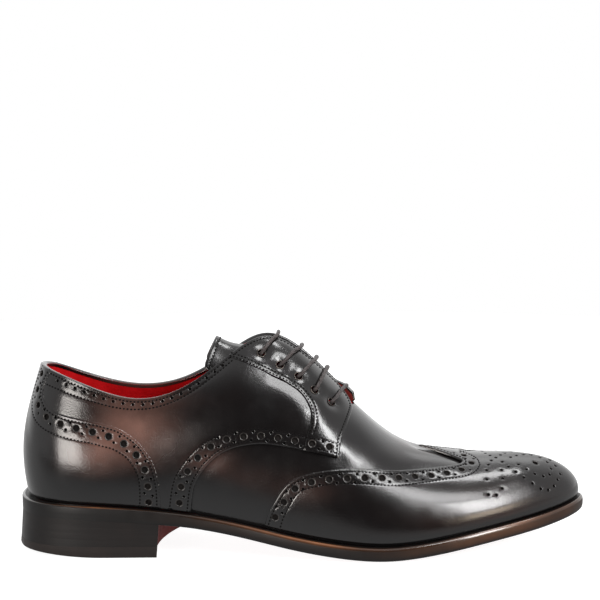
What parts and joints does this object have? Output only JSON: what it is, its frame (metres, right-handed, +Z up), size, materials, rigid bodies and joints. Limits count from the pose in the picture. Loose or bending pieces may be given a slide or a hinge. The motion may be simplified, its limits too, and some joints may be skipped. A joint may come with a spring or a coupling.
{
  "type": "derby brogue shoe",
  "caption": "Polished leather wing-tip derby brogue for the right foot, with open lacing, a heel counter, a leather outsole and a stacked heel.",
  "frame": {"origin": "middle of the shoe's bounding box on the floor it stands on", "axes": "+X from heel to toe, +Y towards the inner side of the foot, +Z up"},
  "size_m": [0.2996, 0.0982, 0.1139],
  "materials": {
    "upper_leather": "polished black-brown calf leather",
    "overlay_leather": "polished black-brown calf leather with a brown burnish",
    "lining": "smooth matt red lining leather",
    "sole_leather": "waxed dark brown sole edge",
    "heel_leather": "waxed dark stacked leather",
    "top_lift": "satin dark rubber",
    "lace_cord": "waxed round cotton cord",
    "eyelet_metal": "dark lacquered"
  },
  "bodies": {
    "root": {"outsole": "sole_leather", "heel_stack": "heel_leather", "heel_top_lift": "top_lift", "insole": "lining", "upper": "upper_leather", "wing_cap": "overlay_leather", "heel_counter": "overlay_leather", "quarter_outer": "overlay_leather", "quarter_inner": "overlay_leather", "eyestay_outer": "overlay_leather", "eyestay_inner": "overlay_leather", "tongue": "upper_leather", "lace_bar_1": "lace_cord", "lace_bar_2": "lace_cord", "lace_bar_3": "lace_cord", "lace_bar_4": "lace_cord", "lace_bar_5": "lace_cord", "eyelet_outer_1": "eyelet_metal", "eyelet_outer_2": "eyelet_metal", "eyelet_outer_3": "eyelet_metal", "eyelet_outer_4": "eyelet_metal", "eyelet_outer_5": "eyelet_metal", "eyelet_inner_1": "eyelet_metal", "eyelet_inner_2": "eyelet_metal", "eyelet_inner_3": "eyelet_metal", "eyelet_inner_4": "eyelet_metal", "eyelet_inner_5": "eyelet_metal"}
  },
  "joints": []
}
